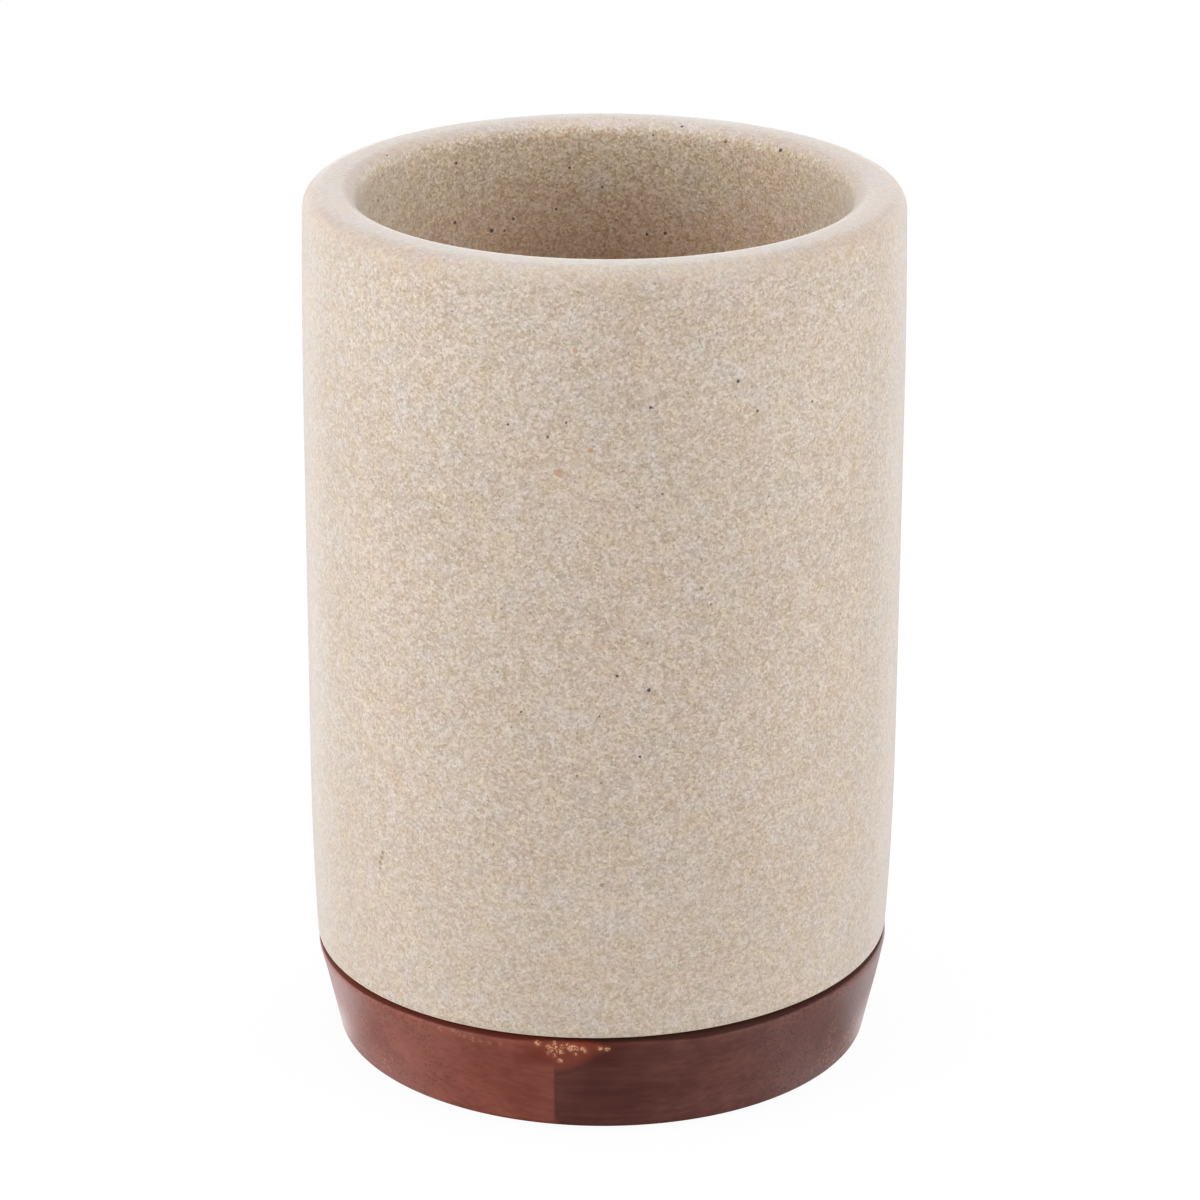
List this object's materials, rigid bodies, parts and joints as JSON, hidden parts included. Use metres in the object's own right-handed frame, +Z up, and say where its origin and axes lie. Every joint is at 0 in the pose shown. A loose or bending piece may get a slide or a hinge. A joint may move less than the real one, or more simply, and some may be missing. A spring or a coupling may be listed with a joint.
{
  "type": "bathroom tumbler",
  "caption": "Straight round tumbler in stone-effect cast resin with a soft rounded lip, glued into a tapered turned wooden base.",
  "frame": {"origin": "on the table, under the middle of the tumbler, at the lowest face of the foot pad", "axes": "+Z up along the tumbler's own axis, the front of the picture faces -Y, the grain of the wood runs along X"},
  "size_m": [0.073, 0.073, 0.1095],
  "materials": {
    "stone_resin": "matte",
    "acacia_red": "satin",
    "acacia_dark": "satin",
    "epoxy": "satin",
    "eva_foam": "matte",
    "adhesive_film": "matte"
  },
  "bodies": {
    "root": {"cup_body": "stone_resin", "base_block_left": "acacia_red", "base_block_right": "acacia_dark", "cup_adhesive": "epoxy", "foot_pad": "eva_foam", "pad_adhesive": "adhesive_film"}
  },
  "joints": []
}
